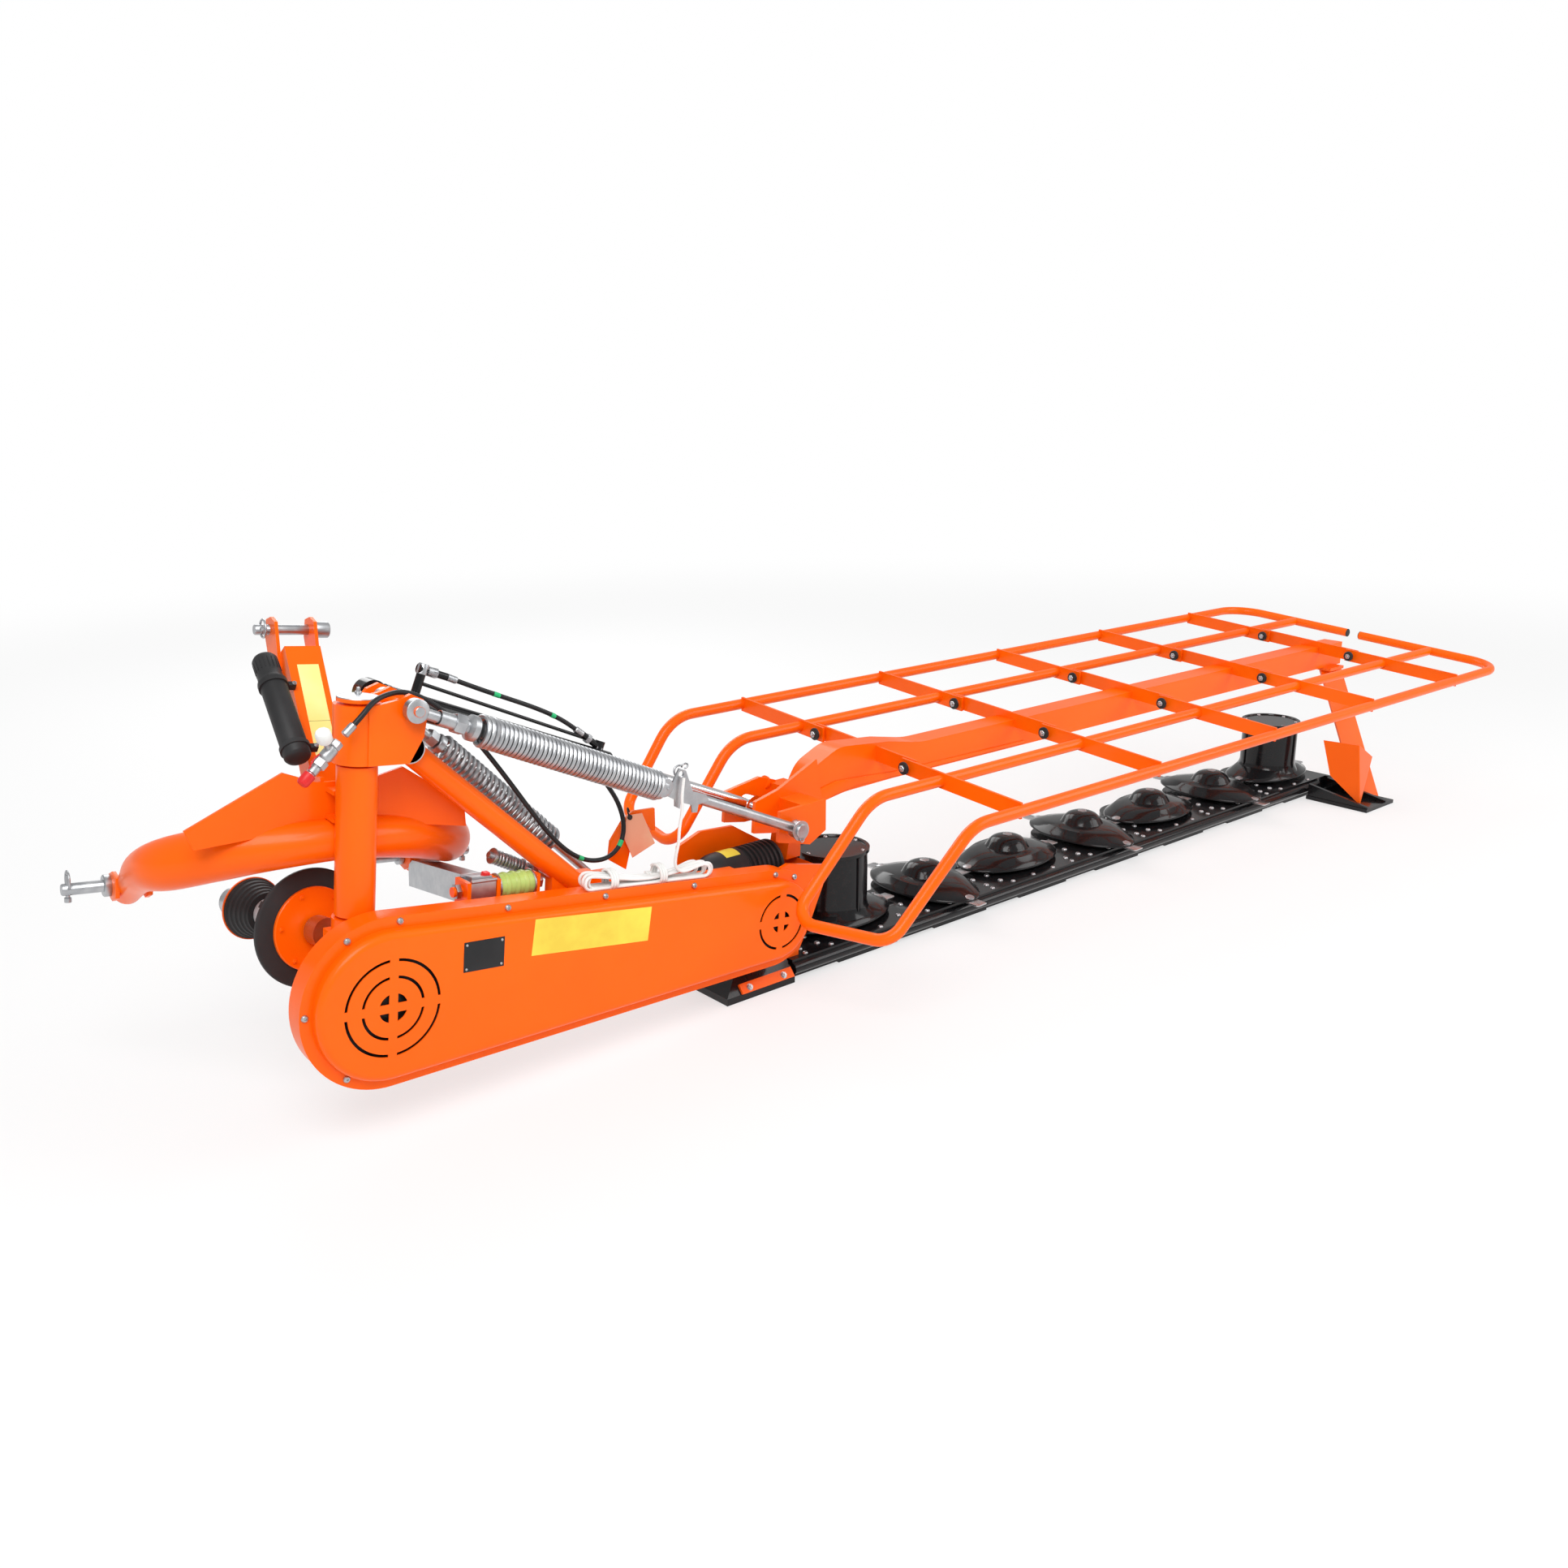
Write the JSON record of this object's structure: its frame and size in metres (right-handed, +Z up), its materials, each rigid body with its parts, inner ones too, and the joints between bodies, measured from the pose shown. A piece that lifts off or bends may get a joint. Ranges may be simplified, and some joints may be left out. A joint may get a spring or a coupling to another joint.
{
  "type": "disc mower",
  "caption": "Rear-mounted mower with a long cutter bar of oval discs under tubular hoops, a slanted belt guard, a post-mounted headstock and a lift cylinder.",
  "frame": {"origin": "centre of the footprint on the floor", "axes": "+X towards the outer end of the cutter bar, +Y the way the tractor travels, +Z up"},
  "size_m": [5.0611, 1.2216, 1.1034],
  "materials": {
    "orange_paint": "glossy orange enamel",
    "black_paint": "glossy black enamel",
    "galvanised_steel": "bright zinc plate",
    "bright_steel": "machined steel",
    "chrome_rod": "hard chrome",
    "cast_iron_paint": "black painted casting",
    "black_plastic": "matte moulded plastic",
    "grey_plastic": "matte moulded plastic",
    "green_urethane": "cast urethane",
    "hose_rubber": "ribbed black hose cover",
    "braided_rope": "braided white cord"
  },
  "bodies": {
    "carrier": {"carrier_beam": "orange_paint", "swing_housing": "orange_paint", "strut": "orange_paint", "belt_guard_cover": "orange_paint", "belt_case": "orange_paint", "latch_mount": "orange_paint", "latch_bumper": "green_urethane", "tensioner": "galvanised_steel", "float_springs": "galvanised_steel", "float_lever": "orange_paint", "supply_hose": "hose_rubber", "hose_elbow": "galvanised_steel", "hose_coupling": "galvanised_steel", "trip_rope": "braided_rope", "rope_hank": "braided_rope"},
    "headstock": {"crossbar": "orange_paint", "wing_plates": "orange_paint", "swing_post": "orange_paint", "mast": "orange_paint", "top_link_pin": "galvanised_steel", "lower_hitch_pins": "galvanised_steel", "document_tube": "black_plastic", "breakaway_bar": "galvanised_steel", "shaft_cone": "black_plastic", "shaft_sleeve": "grey_plastic", "shaft_collar": "black_plastic"},
    "drive_shaft": {"drive_shaft": "bright_steel"},
    "cutter_bar": {"gear_bed": "black_paint", "bed_skids": "black_paint", "inner_skid": "black_paint", "skid_bracket": "orange_paint", "hinge_box": "orange_paint", "hinge_tube": "galvanised_steel", "gearbox": "cast_iron_paint", "gearbox_cover": "black_plastic", "boom": "orange_paint", "boom_bracket": "orange_paint", "boom_arms": "orange_paint", "outer_shoe": "black_paint", "outer_leg": "orange_paint", "deflector": "orange_paint"},
    "disc_1": {"disc_1": "black_paint"},
    "disc_2": {"disc_2": "black_paint"},
    "disc_3": {"disc_3": "black_paint"},
    "disc_4": {"disc_4": "black_paint"},
    "disc_5": {"disc_5": "black_paint"},
    "disc_6": {"disc_6": "black_paint"},
    "disc_7": {"disc_7": "black_paint"},
    "front_hoop": {"front_hoop_tubes": "orange_paint", "front_hoop_ribs": "orange_paint"},
    "rear_hoop": {"rear_hoop_tubes": "orange_paint", "rear_hoop_ribs": "orange_paint"},
    "lift_barrel": {"lift_barrel": "black_paint", "lift_hose": "hose_rubber", "lift_hose_ports": "galvanised_steel"},
    "lift_rod": {"lift_rod": "chrome_rod"},
    "relief_spring": {"relief_spring": "galvanised_steel", "hook_plate": "galvanised_steel"},
    "relief_tube": {"relief_tube": "galvanised_steel"}
  },
  "joints": [
    {"name": "breakaway", "type": "hinge", "parent": "carrier", "child": "headstock", "pos_m": [-2.04215, -0.09, 0.65147], "axis": [0.108, 0, 0.9942], "range_deg": [0, 30]},
    {"name": "shaft_spin", "type": "hinge", "parent": "headstock", "child": "drive_shaft", "pos_m": [-2.10491, 0.04562, 0.43297], "axis": [-0.1426, 0.9871, -0.0728], "continuous": true},
    {"name": "bar_lift", "type": "hinge", "parent": "carrier", "child": "cutter_bar", "pos_m": [-0.94023, 0.006, 0.23], "axis": [0, -1, 0], "range_deg": [-15, 85]},
    {"name": "disc_1_spin", "type": "hinge", "parent": "cutter_bar", "child": "disc_1", "pos_m": [-0.52623, 0.006, 0.074], "axis": [0, 0, 1], "continuous": true},
    {"name": "disc_2_spin", "type": "hinge", "parent": "cutter_bar", "child": "disc_2", "pos_m": [-0.12623, 0.006, 0.074], "axis": [0, 0, 1], "continuous": true},
    {"name": "disc_3_spin", "type": "hinge", "parent": "cutter_bar", "child": "disc_3", "pos_m": [0.27377, 0.006, 0.074], "axis": [0, 0, 1], "continuous": true},
    {"name": "disc_4_spin", "type": "hinge", "parent": "cutter_bar", "child": "disc_4", "pos_m": [0.67377, 0.006, 0.074], "axis": [0, 0, 1], "continuous": true},
    {"name": "disc_5_spin", "type": "hinge", "parent": "cutter_bar", "child": "disc_5", "pos_m": [1.07377, 0.006, 0.074], "axis": [0, 0, 1], "continuous": true},
    {"name": "disc_6_spin", "type": "hinge", "parent": "cutter_bar", "child": "disc_6", "pos_m": [1.47377, 0.006, 0.074], "axis": [0, 0, 1], "continuous": true},
    {"name": "disc_7_spin", "type": "hinge", "parent": "cutter_bar", "child": "disc_7", "pos_m": [1.87377, 0.006, 0.074], "axis": [0, 0, 1], "continuous": true},
    {"name": "front_hoop_fold", "type": "hinge", "parent": "cutter_bar", "child": "front_hoop", "pos_m": [0.87377, 0.219, 0.57187], "axis": [1, 0, 0], "range_deg": [0, 60]},
    {"name": "rear_hoop_fold", "type": "hinge", "parent": "cutter_bar", "child": "rear_hoop", "pos_m": [0.87377, -0.166, 0.54319], "axis": [-1, 0, 0], "range_deg": [0, 60]},
    {"name": "lift_barrel_swing", "type": "hinge", "parent": "carrier", "child": "lift_barrel", "pos_m": [-1.91302, 0.058, 0.95128], "axis": [0, 1, 0], "range_deg": [-1.65, 9.35]},
    {"name": "lift_rod_stroke", "type": "slide", "parent": "lift_barrel", "child": "lift_rod", "axis": [0.9149, 0, -0.4037], "range_m": [-0.30175, 0.05325]},
    {"name": "relief_swing", "type": "hinge", "parent": "carrier", "child": "relief_spring", "pos_m": [-1.91302, -0.17, 0.95128], "axis": [0, 1, 0], "range_deg": [-1.35, 7.65]},
    {"name": "relief_stroke", "type": "slide", "parent": "relief_spring", "child": "relief_tube", "axis": [0.9083, 0, -0.4184], "range_m": [-0.2805, 0.0495]}
  ],
  "couplings": [
    {"joint": "disc_2_spin", "follows": "disc_1_spin", "ratio": -1},
    {"joint": "disc_3_spin", "follows": "disc_1_spin", "ratio": 1},
    {"joint": "disc_4_spin", "follows": "disc_1_spin", "ratio": -1},
    {"joint": "disc_5_spin", "follows": "disc_1_spin", "ratio": 1},
    {"joint": "disc_6_spin", "follows": "disc_1_spin", "ratio": -1},
    {"joint": "disc_7_spin", "follows": "disc_1_spin", "ratio": 1},
    {"joint": "lift_barrel_swing", "follows": "bar_lift", "ratio": 0.11},
    {"joint": "lift_rod_stroke", "follows": "bar_lift", "m_per_rad": -0.2034},
    {"joint": "relief_swing", "follows": "bar_lift", "ratio": 0.09},
    {"joint": "relief_stroke", "follows": "bar_lift", "m_per_rad": -0.18908}
  ]
}
